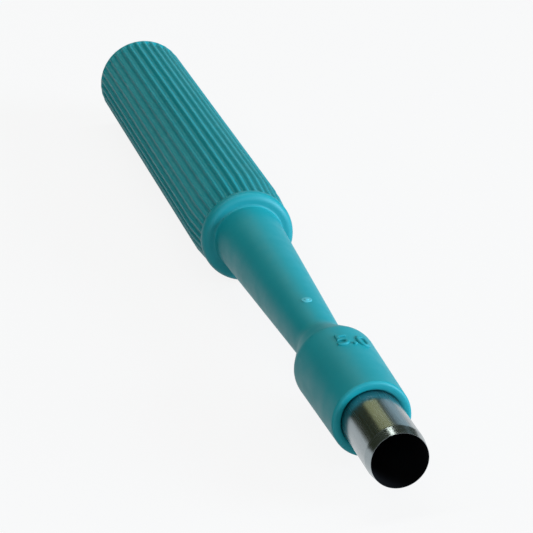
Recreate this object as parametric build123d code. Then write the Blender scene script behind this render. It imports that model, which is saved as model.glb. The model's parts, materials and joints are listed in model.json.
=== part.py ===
from build123d import *
import math
import os

# Biopsy punch: a moulded plastic handle that holds a tubular steel blade.
# X runs from the rear end to the cutting edge and Z is up.
# The punch lies on two neighbouring ribs, and the origin is on the table below its middle.
# All sizes are in millimetres.

# Lengths along the axis, in order from the rear end
grip_length = 51.9
neck_length = 27.0
shoulder_length = 4.5
head_length = 11.6
blade_reach = 8.0

# Ribbed grip
grip_diameter = 9.9
rib_count = 34
rib_depth = 0.3
rib_ridge = 0.03
rear_edge_radius = 0.75
rear_edge_steps = 2
taper_length = 4.2

# Plain ring that closes the grooves at the grip's front
ring_length = 1.15
ring_diameter = 9.4
ring_step = 0.05
ring_edge_radius = 0.75

# Tapered neck
neck_rear_diameter = 6.9
neck_front_diameter = 4.45
neck_root_radius = 0.25
neck_front_radius = 3.8

# Head, which narrows a little to its front, with the socket that holds the blade
head_rear_diameter = 7.65
head_front_diameter = 7.1
shoulder_edge_radius = 1.9
head_edge_radius = 0.3
socket_chamfer = 0.2

# Tubular blade
blade_bore = 5.0
blade_wall = 0.2
blade_seat = 7.5
bevel_length = 1.2
cutting_land = 0.03
socket_clearance = 0.02

# An edge and the corner at its foot take at most these shares of the wall between them
edge_share = 0.7
root_share = 0.25

# Places along the axis, counted from the rear end
taper_start = grip_length - ring_length - taper_length
ring_start = grip_length - ring_length
neck_end = grip_length + neck_length
head_start = neck_end + shoulder_length
head_front = head_start + head_length
cutting_edge = head_front + blade_reach
socket_floor = head_front - blade_seat

grip_radius = grip_diameter / 2
ring_radius = ring_diameter / 2
bore_radius = blade_bore / 2
blade_radius = bore_radius + blade_wall
socket_radius = blade_radius + socket_clearance
half_pitch = math.pi / rib_count


def rib_rounding(crest_radius):
    """The radius at which a rib's side and the groove beside it would be equal, tangent arcs."""
    depth = rib_depth - rib_ridge
    top_radius = crest_radius - rib_ridge
    groove_radius = crest_radius - rib_depth
    turn = 1 - math.cos(half_pitch)
    square = 2 * turn
    linear = depth * (4 - 2 * turn)
    constant = depth**2 + 2 * turn * top_radius * groove_radius
    return (math.sqrt(linear**2 + 4 * square * constant) - linear) / (2 * square)


def on_circle(radius, angle):
    return Vector(radius * math.cos(angle), radius * math.sin(angle))


def rib_foot(crest_radius, crest, groove):
    """Where a rib's side meets the groove beside it, and the way from the groove's centre to the rib's."""
    rounding = rib_rounding(crest_radius)
    rib_centre = on_circle(crest_radius - rib_ridge - rounding, crest)
    groove_centre = on_circle(crest_radius - rib_depth + rounding, groove)
    return (rib_centre + groove_centre) / 2, rib_centre - groove_centre


def rib_section(crest_radius):
    """The grip's outline, with a groove at the very bottom, as a face across the axis."""
    arcs = []
    for rib in range(rib_count):
        groove = -math.pi / 2 + 2 * rib * half_pitch
        crest = groove + half_pitch
        next_groove = crest + half_pitch
        next_crest = next_groove + half_pitch
        top = on_circle(crest_radius, crest)
        bottom = on_circle(crest_radius - rib_depth, next_groove)
        foot, inward = rib_foot(crest_radius, crest, groove)
        next_foot, next_inward = rib_foot(crest_radius, crest, next_groove)
        far_foot, _ = rib_foot(crest_radius, next_crest, next_groove)
        arcs.append(TangentArc(foot, top, tangent=inward.rotate(Axis.Z, -90)))
        arcs.append(TangentArc(next_foot, top, tangent=next_inward.rotate(Axis.Z, 90)))
        arcs.append(ThreePointArc(next_foot, bottom, far_foot))
    return make_face(Wire(arcs).edges())


def across_axis(section, place):
    return Plane.YZ.offset(place) * section


def turned(outline):
    """Turn a closed outline, drawn along the axis by its radius, into a solid round the axis."""
    return revolve(make_face(outline), Axis.X)


def limited(radius, share, *walls):
    return min(radius, share * min(walls))


def rear_edge():
    """The ribs' rear ends, which step round the edge from the end face to the full diameter."""
    sections = []
    for step in range(rear_edge_steps + 1):
        turn = math.pi / 2 * step / rear_edge_steps
        place = rear_edge_radius * (1 - math.cos(turn))
        crest_radius = grip_radius - rear_edge_radius * (1 - math.sin(turn))
        sections.append(across_axis(rib_section(crest_radius), place))
    return loft(sections, ruled=True)


def ribbed_grip():
    section = across_axis(rib_section(grip_radius), rear_edge_radius)
    straight = extrude(section, taper_start - rear_edge_radius)
    taper = loft(
        [
            across_axis(rib_section(grip_radius), taper_start),
            across_axis(rib_section(ring_radius - ring_step), ring_start),
        ],
        ruled=True,
    )
    return rear_edge() + straight + taper


def ring_neck_and_head():
    ring_face = ring_radius - neck_rear_diameter / 2
    head_face = head_front_diameter / 2 - socket_radius - socket_chamfer
    outline = FilletPolyline(
        (ring_start, 0),
        (ring_start, ring_radius),
        (grip_length, ring_radius),
        (grip_length, neck_rear_diameter / 2),
        (neck_end, neck_front_diameter / 2),
        (head_start, head_rear_diameter / 2),
        (head_front, head_front_diameter / 2),
        (head_front, 0),
        radius=[
            0,
            0,
            limited(ring_edge_radius, edge_share, ring_face, ring_length),
            limited(neck_root_radius, root_share, ring_face),
            neck_front_radius,
            shoulder_edge_radius,
            limited(head_edge_radius, edge_share, head_face),
            0,
        ],
        close=True,
    )
    return turned(outline)


def blade_socket():
    outline = Polyline(
        (socket_floor, 0),
        (socket_floor, socket_radius),
        (head_front - socket_chamfer, socket_radius),
        (head_front, socket_radius + socket_chamfer),
        (head_front, 0),
        close=True,
    )
    return turned(outline)


def handle():
    return ribbed_grip() + ring_neck_and_head() - blade_socket()


def blade():
    outline = Polyline(
        (socket_floor, bore_radius),
        (cutting_edge, bore_radius),
        (cutting_edge, bore_radius + cutting_land),
        (cutting_edge - bevel_length, blade_radius),
        (socket_floor, blade_radius),
        close=True,
    )
    return turned(outline)


def lying_on_two_ribs():
    """Centre the punch over the origin, with its two lowest ribs on the table."""
    axis_height = grip_radius * math.cos(half_pitch)
    return Pos(-cutting_edge / 2, 0, axis_height)


os.makedirs("parts", exist_ok=True)
for name, piece in {"handle": handle(), "blade": blade()}.items():
    export_step(lying_on_two_ribs() * piece, f"parts/{name}.step")
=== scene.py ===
import json
import math

import bmesh
import bpy
from mathutils import Matrix, Quaternion, Vector


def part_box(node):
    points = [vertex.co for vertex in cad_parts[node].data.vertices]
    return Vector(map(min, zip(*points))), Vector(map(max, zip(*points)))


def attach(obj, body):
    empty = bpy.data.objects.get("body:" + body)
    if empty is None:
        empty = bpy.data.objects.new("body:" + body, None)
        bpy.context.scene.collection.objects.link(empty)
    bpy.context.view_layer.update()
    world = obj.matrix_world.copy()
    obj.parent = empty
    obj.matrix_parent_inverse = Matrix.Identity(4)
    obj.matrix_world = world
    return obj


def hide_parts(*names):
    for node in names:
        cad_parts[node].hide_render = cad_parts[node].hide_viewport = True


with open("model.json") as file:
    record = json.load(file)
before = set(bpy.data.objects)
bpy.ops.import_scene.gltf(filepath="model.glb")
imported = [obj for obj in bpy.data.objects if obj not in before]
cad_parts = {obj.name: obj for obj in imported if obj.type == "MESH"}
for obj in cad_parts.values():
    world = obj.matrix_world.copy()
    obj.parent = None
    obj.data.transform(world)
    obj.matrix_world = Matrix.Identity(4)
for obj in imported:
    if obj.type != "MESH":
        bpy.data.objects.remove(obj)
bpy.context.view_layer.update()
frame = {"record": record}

# Biopsy punch, lying on two ribs of its grip: X runs from the rear end to the cutting edge.
# Sizes are in millimetres here, and the meshes are in metres, as the frame is.
MM = 0.001

# Sizes that the frame gives
handle_low, handle_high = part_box("handle")
blade_low, blade_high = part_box("blade")
mounts = {mount["name"]: mount for mount in frame["record"]["mounts"]}
axis_height = mounts["tissue_bore"]["pos_m"][2] / MM
rear_end = handle_low.x / MM
head_front = handle_high.x / MM - rear_end
cutting_edge = blade_high.x / MM - rear_end
socket_floor = blade_low.x / MM - rear_end
grip_radius = (handle_high.y - handle_low.y) / 2 / MM
blade_radius = (blade_high.y - blade_low.y) / 2 / MM
bore_radius = mounts["tissue_bore"]["dims"]["r_mm"]

# Handle: places along the axis are counted from the rear end
rib_count = 34
rib_depth = 0.3
rib_ridge = 0.03
rear_edge_radius = 0.75
ribs_begin = 0.4
ribs_full = 1.4
taper_start = 46.55
ring_start = 50.75
ring_radius = 4.7
ring_step = 0.05
# Steps past the ring's start, each with how far the grooves still show there
ring_closing = ((-0.04, 0.95), (-0.01, 0.7), (0.01, 0.3), (0.04, 0.05))
grip_front = 51.9
ring_edge_radius = 0.75
neck_root_radius = 0.25
neck_rear_radius = 3.45
neck_end = 78.9
neck_front_radius = 2.225
neck_front_rounding = 3.8
head_start = 83.4
head_rear_radius = 3.825
head_front_radius = 3.55
shoulder_edge_radius = 1.9
head_edge_radius = 0.3
socket_chamfer = 0.2
socket_clearance = 0.02

# Blade
bevel_length = 1.2
cutting_land = 0.03
bevel_rounding = 1.0

# Raised size numeral round the back of the head, and the mark of the moulding gate on the neck
numeral = "5.0"
numeral_size = 2.7
numeral_weight = -0.06
numeral_relief = 0.06
numeral_edge = 0.12
numeral_edge_steps = 3
numeral_place = 86.5
numeral_turn = math.radians(14)
gate_place = 74.0
gate_turn = math.radians(1)
gate_radius = 0.5
gate_relief = 0.06
gate_stub_radius = 0.22
gate_stub_height = 0.14
gate_root = 0.1

# How finely the surfaces are divided
rib_steps = 16
run_step = 2.0
edge_step = 0.12
arc_step = math.radians(11)
arc_fewest = 3
blade_columns = 144
gate_columns = 24
blade_crease = math.radians(30)
numeral_crease = math.radians(40)
slice_join = 0.0005
letter_join = 0.001

# Patterns in the materials: the lines on the steel are drawn coarser than real ones, so that they show
colour_patch = 7.0
sheen_patch = 1.6
skin_grain = 0.35
skin_depth = 0.02
drawn_line_length = 6.0
drawn_line_width = 0.12
ground_line_length = 4.0
ground_line_width = 0.08
steel_line_depth = 0.01

# A Mix node's inputs share their names, so they are found by number: two plain values and two colours
mix_value_a, mix_value_b = 2, 3
mix_colour_a, mix_colour_b = 6, 7

# Camera
camera_place = Vector((237.27, -54.33, 105.06)) * MM
camera_target = Vector((1.69, 1.34, 2.19)) * MM
camera_roll = math.radians(-2.98)
camera_lens = 178.0

# Studio: a white floor in a dim room, and lamps as name, place, width, height, colour and watts
floor_half_width = 3000.0
floor_colour = "#b4b4b4"
floor_glow = 0.88
room_colour = "#3e4230"
room_strength = 1.0
lamps = (
    ("key", (480.0, 680.0, 240.0), 420.0, 420.0, "#d6ebff", 14.2),
    ("front", (720.0, -150.0, 260.0), 700.0, 700.0, "#f2f8ff", 3.0),
    ("overhead", (-60.0, 0.0, 620.0), 1500.0, 100.0, "#f6fbff", 4.0),
    ("behind", (-720.0, 320.0, 160.0), 400.0, 340.0, "#c8e4f4", 0.36),
    ("high_behind", (-600.0, 14.0, 310.0), 290.0, 150.0, "#fff8b4", 0.125),
    ("glint", (-430.0, 10.0, 510.0), 110.0, 90.0, "#fffdf0", 0.2),
)


def add(tree, kind, inputs=None, **settings):
    """Add a node, set its properties, then give each named input a value or a link."""
    node = tree.nodes.new(kind)
    for name, value in settings.items():
        setattr(node, name, value)
    for key, value in (inputs or {}).items():
        if isinstance(value, bpy.types.NodeSocket):
            tree.links.new(value, node.inputs[key])
        else:
            node.inputs[key].default_value = value
    return node


def linear(colour):
    """Turn an sRGB hex colour into the linear colour that a shader takes."""
    shares = [int(colour[i : i + 2], 16) / 255 for i in (1, 3, 5)]
    return (*[c / 12.92 if c <= 0.04045 else ((c + 0.055) / 1.055) ** 2.4 for c in shares], 1.0)


def new_material(name):
    material = bpy.data.materials.new(name)
    material.use_nodes = True
    material.node_tree.nodes.clear()
    return material, material.node_tree


def place_on_round(place, radius, turn):
    """A point of the punch, from its place along the axis and its turn from the top towards +Y."""
    across = Vector((0, math.sin(turn), math.cos(turn))) * radius
    return Vector((rear_end + place, across.y, axis_height + across.z)) * MM


def moulded_abs(name, dark, light):
    """Moulded ABS: dyed through, so one even colour, with a soft sheen from the mould's spark-eroded skin."""
    material, tree = new_material(name)
    where = add(tree, "ShaderNodeTexCoord").outputs["Object"]
    flow = add(
        tree,
        "ShaderNodeTexNoise",
        {"Vector": where, "Scale": 1 / (colour_patch * MM), "Detail": 3.0, "Roughness": 0.5},
    )
    colour = add(
        tree,
        "ShaderNodeMix",
        {
            "Factor": flow.outputs["Fac"],
            mix_colour_a: linear(dark),
            mix_colour_b: linear(light),
        },
        data_type="RGBA",
    )
    patches = add(
        tree,
        "ShaderNodeTexNoise",
        {"Vector": where, "Scale": 1 / (sheen_patch * MM), "Detail": 4.0},
    )
    roughness = add(
        tree,
        "ShaderNodeMapRange",
        {"Value": patches.outputs["Fac"], "From Min": 0.3, "From Max": 0.7, "To Min": 0.46, "To Max": 0.56},
    )
    skin = add(tree, "ShaderNodeTexNoise", {"Vector": where, "Scale": 1 / (skin_grain * MM), "Detail": 2.0})
    bump = add(
        tree,
        "ShaderNodeBump",
        {"Height": skin.outputs["Fac"], "Strength": 0.1, "Distance": skin_depth * MM},
    )
    shader = add(
        tree,
        "ShaderNodeBsdfPrincipled",
        {
            "Base Color": colour.outputs[2],
            "Roughness": roughness.outputs["Result"],
            "Normal": bump.outputs["Normal"],
            "IOR": 1.49,
            "Specular IOR Level": 0.42,
            "Specular Tint": linear("#e8fbff"),
        },
    )
    add(tree, "ShaderNodeOutputMaterial", {"Surface": shader.outputs["BSDF"]})
    return material


def drawn_steel():
    """Drawn stainless tube: bright, with fine lines along it, ground round the bevel; the bore is rougher, in
    painted shade.
    """
    material, tree = new_material("drawn_stainless_steel_tube")
    where = add(tree, "ShaderNodeTexCoord").outputs["Object"]
    parts = add(tree, "ShaderNodeSeparateXYZ", {"Vector": where})
    centred = add(
        tree,
        "ShaderNodeVectorMath",
        {0: where, 1: (0.0, 0.0, axis_height * MM)},
        operation="SUBTRACT",
    )
    across = add(
        tree,
        "ShaderNodeVectorMath",
        {0: centred.outputs[0], 1: (0.0, 1.0, 1.0)},
        operation="MULTIPLY",
    )
    radius = add(tree, "ShaderNodeVectorMath", {0: across.outputs[0]}, operation="LENGTH")
    # Marks the bore, which is drawn rougher and painted dark as painted shade
    painted_shade_bore = add(
        tree,
        "ShaderNodeMath",
        {0: radius.outputs["Value"], 1: (bore_radius + cutting_land / 2) * MM},
        operation="LESS_THAN",
    )
    bevel_place = (rear_end + cutting_edge - bevel_length) * MM
    on_bevel = add(tree, "ShaderNodeMath", {0: parts.outputs["X"], 1: bevel_place}, operation="GREATER_THAN")
    along_drawn = 1 / (drawn_line_length * MM)
    across_drawn = 1 / (drawn_line_width * MM)
    drawn_map = add(
        tree,
        "ShaderNodeMapping",
        {"Vector": where, "Scale": (along_drawn, across_drawn, across_drawn)},
    )
    drawn = add(tree, "ShaderNodeTexNoise", {"Vector": drawn_map.outputs[0], "Scale": 1.0, "Detail": 2.0})
    along_ground = 1 / (ground_line_length * MM)
    across_ground = 1 / (ground_line_width * MM)
    ground_map = add(
        tree,
        "ShaderNodeMapping",
        {"Vector": where, "Scale": (across_ground, along_ground, along_ground)},
    )
    ground = add(tree, "ShaderNodeTexNoise", {"Vector": ground_map.outputs[0], "Scale": 1.0, "Detail": 2.0})
    lines = add(
        tree,
        "ShaderNodeMix",
        {
            "Factor": on_bevel.outputs[0],
            mix_value_a: drawn.outputs["Fac"],
            mix_value_b: ground.outputs["Fac"],
        },
        data_type="FLOAT",
    )
    outside_roughness = add(
        tree,
        "ShaderNodeMapRange",
        {"Value": lines.outputs[0], "From Min": 0.3, "From Max": 0.7, "To Min": 0.18, "To Max": 0.29},
    )
    roughness = add(
        tree,
        "ShaderNodeMix",
        {
            "Factor": painted_shade_bore.outputs[0],
            mix_value_a: outside_roughness.outputs["Result"],
            mix_value_b: 0.6,
        },
        data_type="FLOAT",
    )
    # The bore's dark grey is painted shade, for the shadow deep inside the tube
    colour = add(
        tree,
        "ShaderNodeMix",
        {
            "Factor": painted_shade_bore.outputs[0],
            mix_colour_a: linear("#8e999d"),
            mix_colour_b: linear("#2a2a2c"),
        },
        data_type="RGBA",
    )
    bump = add(
        tree,
        "ShaderNodeBump",
        {"Height": lines.outputs[0], "Strength": 0.15, "Distance": steel_line_depth * MM},
    )
    shader = add(
        tree,
        "ShaderNodeBsdfPrincipled",
        {
            "Base Color": colour.outputs[2],
            "Roughness": roughness.outputs[0],
            "Normal": bump.outputs["Normal"],
            "Metallic": 1.0,
        },
    )
    add(tree, "ShaderNodeOutputMaterial", {"Surface": shader.outputs["BSDF"]})
    return material


def rounded_outline(corners):
    """Follow corners, each a place, a radius and a rounding, by straight runs and tangent arcs."""
    path = []
    for i, (place, radius, rounding) in enumerate(corners):
        corner = Vector((place, radius))
        if rounding == 0:
            path.append([corner])
            continue
        back = (Vector(corners[i - 1][:2]) - corner).normalized()
        ahead = (Vector(corners[i + 1][:2]) - corner).normalized()
        half_angle = back.angle(ahead) / 2
        reach = rounding / math.tan(half_angle)
        middle = corner + (back + ahead).normalized() * rounding / math.sin(half_angle)
        start = corner + back * reach - middle
        turn = start.angle_signed(corner + ahead * reach - middle)
        count = max(arc_fewest, math.ceil(abs(turn) / arc_step))
        path.append([middle + Matrix.Rotation(-turn * k / count, 2) @ start for k in range(count + 1)])
    outline = list(path[0])
    for arc in path[1:]:
        outline += straight_run(outline[-1], arc[0]) + arc
    return [tuple(point) for point in outline]


def straight_run(start, end):
    """Points between two ends, close to each end, so that a run shades flat beside a rounding."""
    length = (end - start).length
    if length < 3 * edge_step:
        return []
    count = max(1, math.ceil((length - 2 * edge_step) / run_step))
    shares = [(edge_step + (length - 2 * edge_step) * k / count) / length for k in range(count + 1)]
    return [start.lerp(end, share) for share in shares]


def rib_shape(crest):
    """A rib's top, the centre of its side, its foot and the centre of the groove, seen along the axis."""
    half_pitch = math.pi / rib_count
    depth = rib_depth - rib_ridge
    turn = 1 - math.cos(half_pitch)
    linear_term = depth * (4 - 2 * turn)
    constant = depth**2 + 2 * turn * (crest - rib_ridge) * (crest - rib_depth)
    rounding = (math.sqrt(linear_term**2 + 8 * turn * constant) - linear_term) / (4 * turn)
    top = Vector((crest, 0))
    rib_centre = Vector((crest - rib_ridge - rounding, 0))
    groove_centre = Matrix.Rotation(half_pitch, 2) @ Vector((crest - rib_depth + rounding, 0))
    foot = (rib_centre + groove_centre) / 2
    inward = (rib_centre - groove_centre).normalized()
    reach = (top - foot).length_squared / (2 * inward.dot(top - foot))
    return top, foot + inward * reach, foot, groove_centre


def ray_to_arc(centre, point, turn, side):
    """How far out a ray meets the arc about a centre and through a point, on its far or near side."""
    along = centre.dot(Vector((math.cos(turn), math.sin(turn))))
    depth = (point - centre).length_squared - centre.length_squared + along**2
    return along + side * math.sqrt(max(depth, 0))


def rib_radius(crest, turn):
    """The ribbed outline's radius at a turn away from a rib's crest."""
    _, side_centre, foot, groove_centre = rib_shape(crest)
    if abs(turn) <= math.atan2(foot.y, foot.x):
        return ray_to_arc(side_centre, foot, abs(turn), 1)
    return ray_to_arc(groove_centre, foot, abs(turn), -1)


def rib_turns():
    """Turns across one rib, from groove to groove, evenly spaced along its two kinds of arc."""
    top, side_centre, foot, groove_centre = rib_shape(grip_radius)
    bottom = groove_centre.normalized() * (grip_radius - rib_depth)
    count = rib_steps // 4
    turns = []
    for centre, start, end in ((side_centre, top, foot), (groove_centre, foot, bottom)):
        sweep = (start - centre).angle_signed(end - centre)
        for k in range(count):
            point = centre + Matrix.Rotation(-sweep * k / count, 2) @ (start - centre)
            turns.append(math.atan2(point.y, point.x))
    turns.append(math.pi / rib_count)
    return [-turn for turn in reversed(turns[1:])] + turns


def rear_fade(place):
    """How far the grip is ribbed near its rear end, where the grooves run out before a plain rim."""
    share = min(max((place - ribs_begin) / (ribs_full - ribs_begin), 0.0), 1.0)
    return share * share * (3 - 2 * share)


def handle_stations():
    """The handle's outline as (place, radius, how far ribbed), from the rear face to the socket's floor."""
    socket_radius = blade_radius + socket_clearance
    rear = rounded_outline(
        [
            (0, 0, 0),
            (0, grip_radius, rear_edge_radius),
            (ribs_full, grip_radius, 0),
            (taper_start, grip_radius, 0),
        ]
    )
    stations = [(place, radius, rear_fade(place)) for place, radius in rear]
    front_crest = ring_radius - ring_step
    taper = straight_run(Vector((taper_start, grip_radius)), Vector((ring_start, front_crest)))
    stations += [(point.x, point.y, 1.0) for point in taper]
    for shift, ribbed in ring_closing:
        stations.append((ring_start + shift, ring_radius - ring_step * ribbed, ribbed))
    front = rounded_outline(
        [
            (ring_start + edge_step, ring_radius, 0),
            (grip_front, ring_radius, ring_edge_radius),
            (grip_front, neck_rear_radius, neck_root_radius),
            (neck_end, neck_front_radius, neck_front_rounding),
            (head_start, head_rear_radius, shoulder_edge_radius),
            (head_front, head_front_radius, head_edge_radius),
            (head_front, socket_radius + socket_chamfer, 0),
            (head_front - socket_chamfer, socket_radius, 0),
            (socket_floor, socket_radius, 0),
            (socket_floor, 0, 0),
        ]
    )
    return stations + [(place, radius, 0.0) for place, radius in front]


def handle_radius(place, radius, ribbed, turn):
    """The handle's radius at one station: its outline, cut by the grooves as far as it is ribbed."""
    if ribbed == 0:
        return radius
    return radius + (rib_radius(radius, turn) - radius) * ribbed


def plain_radius(place, radius, turn):
    """A plain round piece's radius, which is the same at every turn."""
    return radius


def sector_mesh(name, stations, turns, radius_at):
    """One slice of a round piece, as a grid of stations by turns about the axis, with its faces outwards."""
    mesh = bmesh.new()
    rows = []
    for station in stations:
        points = []
        for turn in turns:
            radius = radius_at(*station, turn)
            points.append(Vector((station[0], radius * math.sin(turn), radius * math.cos(turn))) * MM)
        on_axis = station[1] == 0
        row = [mesh.verts.new(point) for point in (points[:1] if on_axis else points)]
        rows.append(row * len(turns) if on_axis else row)
    for row, next_row in zip(rows, rows[1:]):
        for k in range(len(turns) - 1):
            corners = (row[k], next_row[k], next_row[k + 1], row[k + 1])
            mesh.faces.new(list(dict.fromkeys(corners)))
    sector = bpy.data.meshes.new(name)
    mesh.to_mesh(sector)
    mesh.free()
    return sector


def round_repeat_tree():
    """A tree that repeats a slice about the X axis and joins the copies into one skin."""
    tree = bpy.data.node_groups.new("repeat_slice_about_axis", "GeometryNodeTree")
    for name, kind in (
        ("Slice", "NodeSocketGeometry"),
        ("Copies", "NodeSocketInt"),
        ("First Turn", "NodeSocketFloat"),
        ("Axis Place", "NodeSocketVector"),
        ("Finish", "NodeSocketMaterial"),
    ):
        tree.interface.new_socket(name, in_out="INPUT", socket_type=kind)
    tree.interface.new_socket("Piece", in_out="OUTPUT", socket_type="NodeSocketGeometry")
    given = add(tree, "NodeGroupInput").outputs
    points = add(tree, "GeometryNodeMeshLine", {"Count": given["Copies"], "Offset": (0.0, 0.0, 0.0)})
    index = add(tree, "GeometryNodeInputIndex").outputs["Index"]
    pitch = add(tree, "ShaderNodeMath", {0: math.tau, 1: given["Copies"]}, operation="DIVIDE")
    turn = add(
        tree,
        "ShaderNodeMath",
        {0: index, 1: pitch.outputs[0], 2: given["First Turn"]},
        operation="MULTIPLY_ADD",
    )
    about_axis = add(tree, "ShaderNodeCombineXYZ", {"X": turn.outputs[0]})
    copies = add(
        tree,
        "GeometryNodeInstanceOnPoints",
        {"Points": points.outputs["Mesh"], "Instance": given["Slice"], "Rotation": about_axis.outputs[0]},
    )
    real = add(tree, "GeometryNodeRealizeInstances", {"Geometry": copies.outputs["Instances"]})
    joined = add(
        tree,
        "GeometryNodeMergeByDistance",
        {"Geometry": real.outputs[0], "Distance": slice_join * MM},
    )
    placed = add(
        tree,
        "GeometryNodeTransform",
        {"Geometry": joined.outputs[0], "Translation": given["Axis Place"]},
    )
    smooth = add(tree, "GeometryNodeSetShadeSmooth", {"Geometry": placed.outputs[0]})
    finished = add(
        tree,
        "GeometryNodeSetMaterial",
        {"Geometry": smooth.outputs[0], "Material": given["Finish"]},
    )
    add(tree, "NodeGroupOutput", {"Piece": finished.outputs[0]})
    return tree


def round_piece(name, sector, tree, copies, first_turn, finish):
    """A whole round piece: the slice repeated by the tree, as a plain mesh."""
    piece = bpy.data.objects.new(name, sector)
    bpy.context.scene.collection.objects.link(piece)
    modifier = piece.modifiers.new("repeat", "NODES")
    modifier.node_group = tree
    values = {
        "Copies": copies,
        "First Turn": first_turn,
        "Axis Place": (rear_end * MM, 0.0, axis_height * MM),
        "Finish": finish,
    }
    for item in tree.interface.items_tree:
        if item.in_out == "INPUT" and item.name in values:
            modifier[item.identifier] = values[item.name]
    view = bpy.context.evaluated_depsgraph_get()
    whole = bpy.data.meshes.new_from_object(piece.evaluated_get(view))
    piece.modifiers.clear()
    piece.data = whole
    whole.name = name
    return piece


def moulded_handle(tree, plastic):
    sector = sector_mesh("handle_slice", handle_stations(), rib_turns(), handle_radius)
    half_pitch = math.pi / rib_count
    return round_piece("moulded_handle", sector, tree, rib_count, half_pitch, plastic)


def steel_blade(tree, steel):
    """The tube, with a bevel ground on its outside down to the cutting edge."""
    outline = rounded_outline(
        [
            (socket_floor, bore_radius, 0),
            (socket_floor, blade_radius, 0),
            (cutting_edge - bevel_length, blade_radius, bevel_rounding),
            (cutting_edge, bore_radius + cutting_land, 0),
            (cutting_edge, bore_radius, 0),
            (socket_floor, bore_radius, 0),
        ]
    )
    turns = [math.tau * k / blade_columns for k in (0, 1)]
    sector = sector_mesh("blade_slice", outline, turns, plain_radius)
    piece = round_piece("steel_blade", sector, tree, blade_columns, 0.0, steel)
    piece.data.set_sharp_from_angle(angle=blade_crease)
    return piece


def head_radius(place):
    """The head's radius, which narrows evenly to its front."""
    share = (place - head_start) / (head_front - head_start)
    return head_rear_radius + (head_front_radius - head_rear_radius) * share


def size_numeral(plastic):
    """A plain raised numeral, bent round the back of the head, that gives the bore."""
    letters = bpy.data.curves.new("size_numeral", "FONT")
    letters.body = numeral
    letters.size = numeral_size
    letters.align_x = "CENTER"
    letters.align_y = "CENTER"
    letters.offset = numeral_weight
    letters.extrude = numeral_relief
    letters.bevel_depth = numeral_edge
    letters.bevel_resolution = numeral_edge_steps
    flat = bpy.data.objects.new("flat_numeral", letters)
    bpy.context.scene.collection.objects.link(flat)
    view = bpy.context.evaluated_depsgraph_get()
    mesh = bmesh.new()
    mesh.from_mesh(bpy.data.meshes.new_from_object(flat.evaluated_get(view)))
    bpy.data.objects.remove(flat)
    bmesh.ops.remove_doubles(mesh, verts=mesh.verts, dist=letter_join)
    half_width = max(abs(vert.co.x) for vert in mesh.verts)
    cuts = math.ceil(2 * half_width / edge_step)
    for k in range(1, cuts):
        place = -half_width + 2 * half_width * k / cuts
        geometry = mesh.verts[:] + mesh.edges[:] + mesh.faces[:]
        bmesh.ops.bisect_plane(mesh, geom=geometry, plane_co=(place, 0, 0), plane_no=(1, 0, 0))
    for vert in mesh.verts:
        place = numeral_place - vert.co.y
        turn = numeral_turn + vert.co.x / head_radius(numeral_place)
        vert.co = place_on_round(place, head_radius(place) + vert.co.z, turn)
    bent = bpy.data.meshes.new("size_numeral")
    mesh.to_mesh(bent)
    mesh.free()
    bent.materials.append(plastic)
    bent.shade_smooth()
    bent.set_sharp_from_angle(angle=numeral_crease)
    piece = bpy.data.objects.new("size_numeral", bent)
    bpy.context.scene.collection.objects.link(piece)
    return piece


def gate_mark(tree, plastic):
    """The moulding gate's mark on the neck: a low round pad, with the stub where the runner broke off."""
    outline = rounded_outline(
        [
            (-gate_root, 0, 0),
            (-gate_root, gate_radius, 0),
            (gate_relief, gate_radius, gate_relief),
            (gate_relief, gate_stub_radius, gate_relief / 2),
            (gate_stub_height, gate_stub_radius, gate_relief),
            (gate_stub_height, 0, 0),
        ]
    )
    turns = [math.tau * k / gate_columns for k in (0, 1)]
    sector = sector_mesh("gate_slice", outline, turns, plain_radius)
    piece = round_piece("gate_mark", sector, tree, gate_columns, 0.0, plastic)
    narrowing = (neck_rear_radius - neck_front_radius) / (neck_end - grip_front)
    skin_radius = neck_rear_radius - narrowing * (gate_place - grip_front)
    outward = Vector((narrowing, math.sin(gate_turn), math.cos(gate_turn)))
    upright = outward.to_track_quat("X", "Z").to_matrix().to_4x4()
    to_skin = Matrix.Translation(place_on_round(gate_place, skin_radius, gate_turn))
    from_axis = Matrix.Translation(-place_on_round(0, 0, 0))
    piece.data.transform(to_skin @ upright @ from_axis)
    return piece


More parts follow.
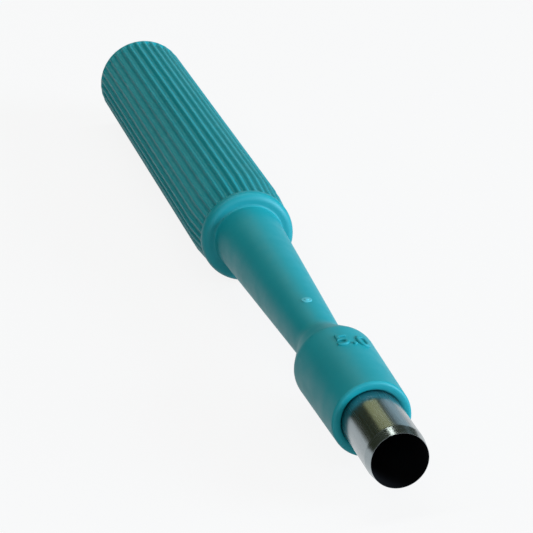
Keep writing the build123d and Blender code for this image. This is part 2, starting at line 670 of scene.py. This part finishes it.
def white_floor():
    """A white paper floor that keeps a pale shadow, and shows as white to the camera and in reflections."""
    material, tree = new_material("matt_white_paper")
    paper = add(tree, "ShaderNodeBsdfDiffuse", {"Color": linear(floor_colour)})
    white = add(tree, "ShaderNodeEmission", {"Color": (1.0, 1.0, 1.0, 1.0), "Strength": 1.0})
    light = add(tree, "ShaderNodeLightPath").outputs
    mirrored = add(
        tree,
        "ShaderNodeMath",
        {0: light["Is Glossy Ray"], 1: light["Is Transmission Ray"]},
        operation="MAXIMUM",
    )
    seen = add(
        tree,
        "ShaderNodeMath",
        {0: light["Is Camera Ray"], 1: mirrored.outputs[0]},
        operation="MAXIMUM",
    )
    share = add(tree, "ShaderNodeMath", {0: seen.outputs[0], 1: floor_glow}, operation="MULTIPLY")
    mixed = add(tree, "ShaderNodeMixShader", {0: share.outputs[0], 1: paper.outputs[0], 2: white.outputs[0]})
    add(tree, "ShaderNodeOutputMaterial", {"Surface": mixed.outputs[0]})
    mesh = bmesh.new()
    bmesh.ops.create_grid(mesh, x_segments=1, y_segments=1, size=floor_half_width * MM)
    sheet = bpy.data.meshes.new("floor")
    mesh.to_mesh(sheet)
    mesh.free()
    sheet.materials.append(material)
    floor = bpy.data.objects.new("floor", sheet)
    bpy.context.scene.collection.objects.link(floor)
    return floor


def studio_lights():
    for name, place, width, height, colour, power in lamps:
        data = bpy.data.lights.new(name, "AREA")
        data.shape = "RECTANGLE"
        data.size = width * MM
        data.size_y = height * MM
        data.color = linear(colour)[:3]
        data.energy = power
        lamp = bpy.data.objects.new(name, data)
        lamp.location = Vector(place) * MM
        lamp.rotation_euler = (-lamp.location).to_track_quat("-Z", "Y").to_euler()
        lamp.visible_camera = False
        bpy.context.scene.collection.objects.link(lamp)
    world = bpy.data.worlds.new("dim_room")
    world.use_nodes = True
    tree = world.node_tree
    tree.nodes.clear()
    room = add(tree, "ShaderNodeBackground", {"Color": linear(room_colour), "Strength": room_strength})
    add(tree, "ShaderNodeOutputWorld", {"Surface": room.outputs[0]})
    bpy.context.scene.world = world


def photo_camera():
    data = bpy.data.cameras.new("camera")
    data.lens = camera_lens
    camera = bpy.data.objects.new("camera", data)
    camera.location = camera_place
    look = (camera_target - camera_place).to_track_quat("-Z", "Y")
    camera.rotation_euler = (look @ Quaternion((0, 0, 1), camera_roll)).to_euler()
    bpy.context.scene.collection.objects.link(camera)
    bpy.context.scene.camera = camera


abs_plastic = moulded_abs("moulded_teal_abs", "#007d84", "#00868e")
# The gate's pad is drawn in a paler teal, which is painted highlight for the light spot on it
gate_highlight_abs = moulded_abs("painted_highlight_teal_abs", "#3a9aa4", "#50a8b0")
stainless = drawn_steel()
repeat_tree = round_repeat_tree()

handle = moulded_handle(repeat_tree, abs_plastic)
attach(handle, "root")
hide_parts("handle")

blade = steel_blade(repeat_tree, stainless)
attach(blade, "root")
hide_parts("blade")

raised_size = size_numeral(abs_plastic)
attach(raised_size, "root")

# The gate mark takes the paler teal: painted highlight
gate = gate_mark(repeat_tree, gate_highlight_abs)
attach(gate, "root")

white_floor()
studio_lights()
photo_camera()
bpy.context.scene.view_settings.view_transform = "Standard"
